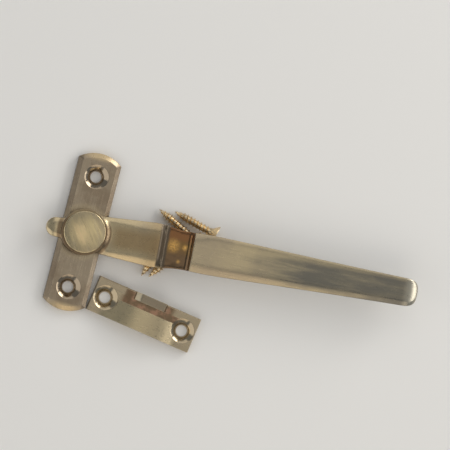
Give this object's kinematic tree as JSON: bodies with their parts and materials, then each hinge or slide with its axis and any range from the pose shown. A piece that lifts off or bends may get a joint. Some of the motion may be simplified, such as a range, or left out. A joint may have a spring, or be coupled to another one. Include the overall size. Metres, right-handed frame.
{
  "type": "casement window fastener",
  "caption": "Brass casement window fastener: cranked lever with a nose on an oblong screw-on plate, with a separate wedge keep and wood screws.",
  "frame": {"origin": "on the pivot axis, at the back face of the sash plate", "axes": "+Z out of the sash plate towards the lever, +Y along the sash plate, +X across it on the side that the grip lies on"},
  "size_m": [0.1264, 0.057, 0.0115],
  "materials": {
    "plate_brass": "satin, slightly dulled",
    "lever_brass": "satin brushed along the lever, bright in the waist",
    "cap_brass": "brushed face, polished rim",
    "keep_brass": "satin, bright countersinks",
    "pin_brass": "turned",
    "washer_brass": "stamped",
    "spring_steel": "plain spring steel",
    "screw_brass": "bright"
  },
  "bodies": {
    "sash_plate": {"base_plate": "plate_brass", "pivot_pin": "pin_brass", "thrust_washer": "washer_brass", "spring_washer": "spring_steel", "burr_washer": "washer_brass"},
    "lever": {"lever": "lever_brass", "pivot_cap": "cap_brass"},
    "keep": {"keep": "keep_brass"},
    "screws": {"wood_screws": "screw_brass"}
  },
  "joints": [
    {"name": "lever_turn", "type": "hinge", "parent": "sash_plate", "child": "lever", "pos_m": [0, 0, 0.006], "axis": [0, 0, 1], "range_deg": [-93.9, 86.1]},
    {"name": "keep_away", "type": "slide", "parent": "sash_plate", "child": "keep", "axis": [0, -1, 0], "range_m": [0, 0.03]},
    {"name": "screws_away", "type": "slide", "parent": "sash_plate", "child": "screws", "axis": [1, 0, 0], "range_m": [0, 0.06]}
  ]
}
